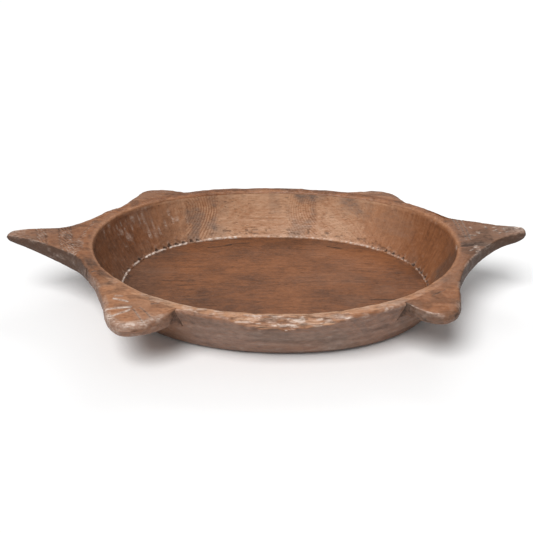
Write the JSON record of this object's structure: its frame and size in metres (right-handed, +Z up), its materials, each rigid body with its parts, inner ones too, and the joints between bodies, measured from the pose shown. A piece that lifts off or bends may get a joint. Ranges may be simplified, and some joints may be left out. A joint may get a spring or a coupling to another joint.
{
  "type": "carved wooden bowl",
  "caption": "Long shallow oval bowl carved from solid hardwood, with a flat base, a pointed horn at each end and rounded lobes at the corners of the rim.",
  "frame": {"origin": "middle of the bowl's outline in plan, on the flat base it stands on", "axes": "+X along the bowl's length towards the right-hand horn, +Y towards the back long side, +Z up out of the hollow"},
  "size_m": [0.8481, 0.4503, 0.1162],
  "materials": {
    "floor_wood": "tool-cut and worn smooth, brown hardwood with an old wax",
    "wall_wood": "tool-cut hardwood, waxed, lighter on the inside of the far wall",
    "handle_wood": "worn, incised and weathered hardwood with a dull wax"
  },
  "bodies": {
    "root": {"basin_floor": "floor_wood", "basin_wall": "wall_wood", "horn_left": "handle_wood", "horn_right": "handle_wood", "lobe_front_left": "handle_wood", "lobe_front_right": "handle_wood", "lobe_back_left": "handle_wood", "lobe_back_right": "handle_wood"}
  },
  "joints": []
}
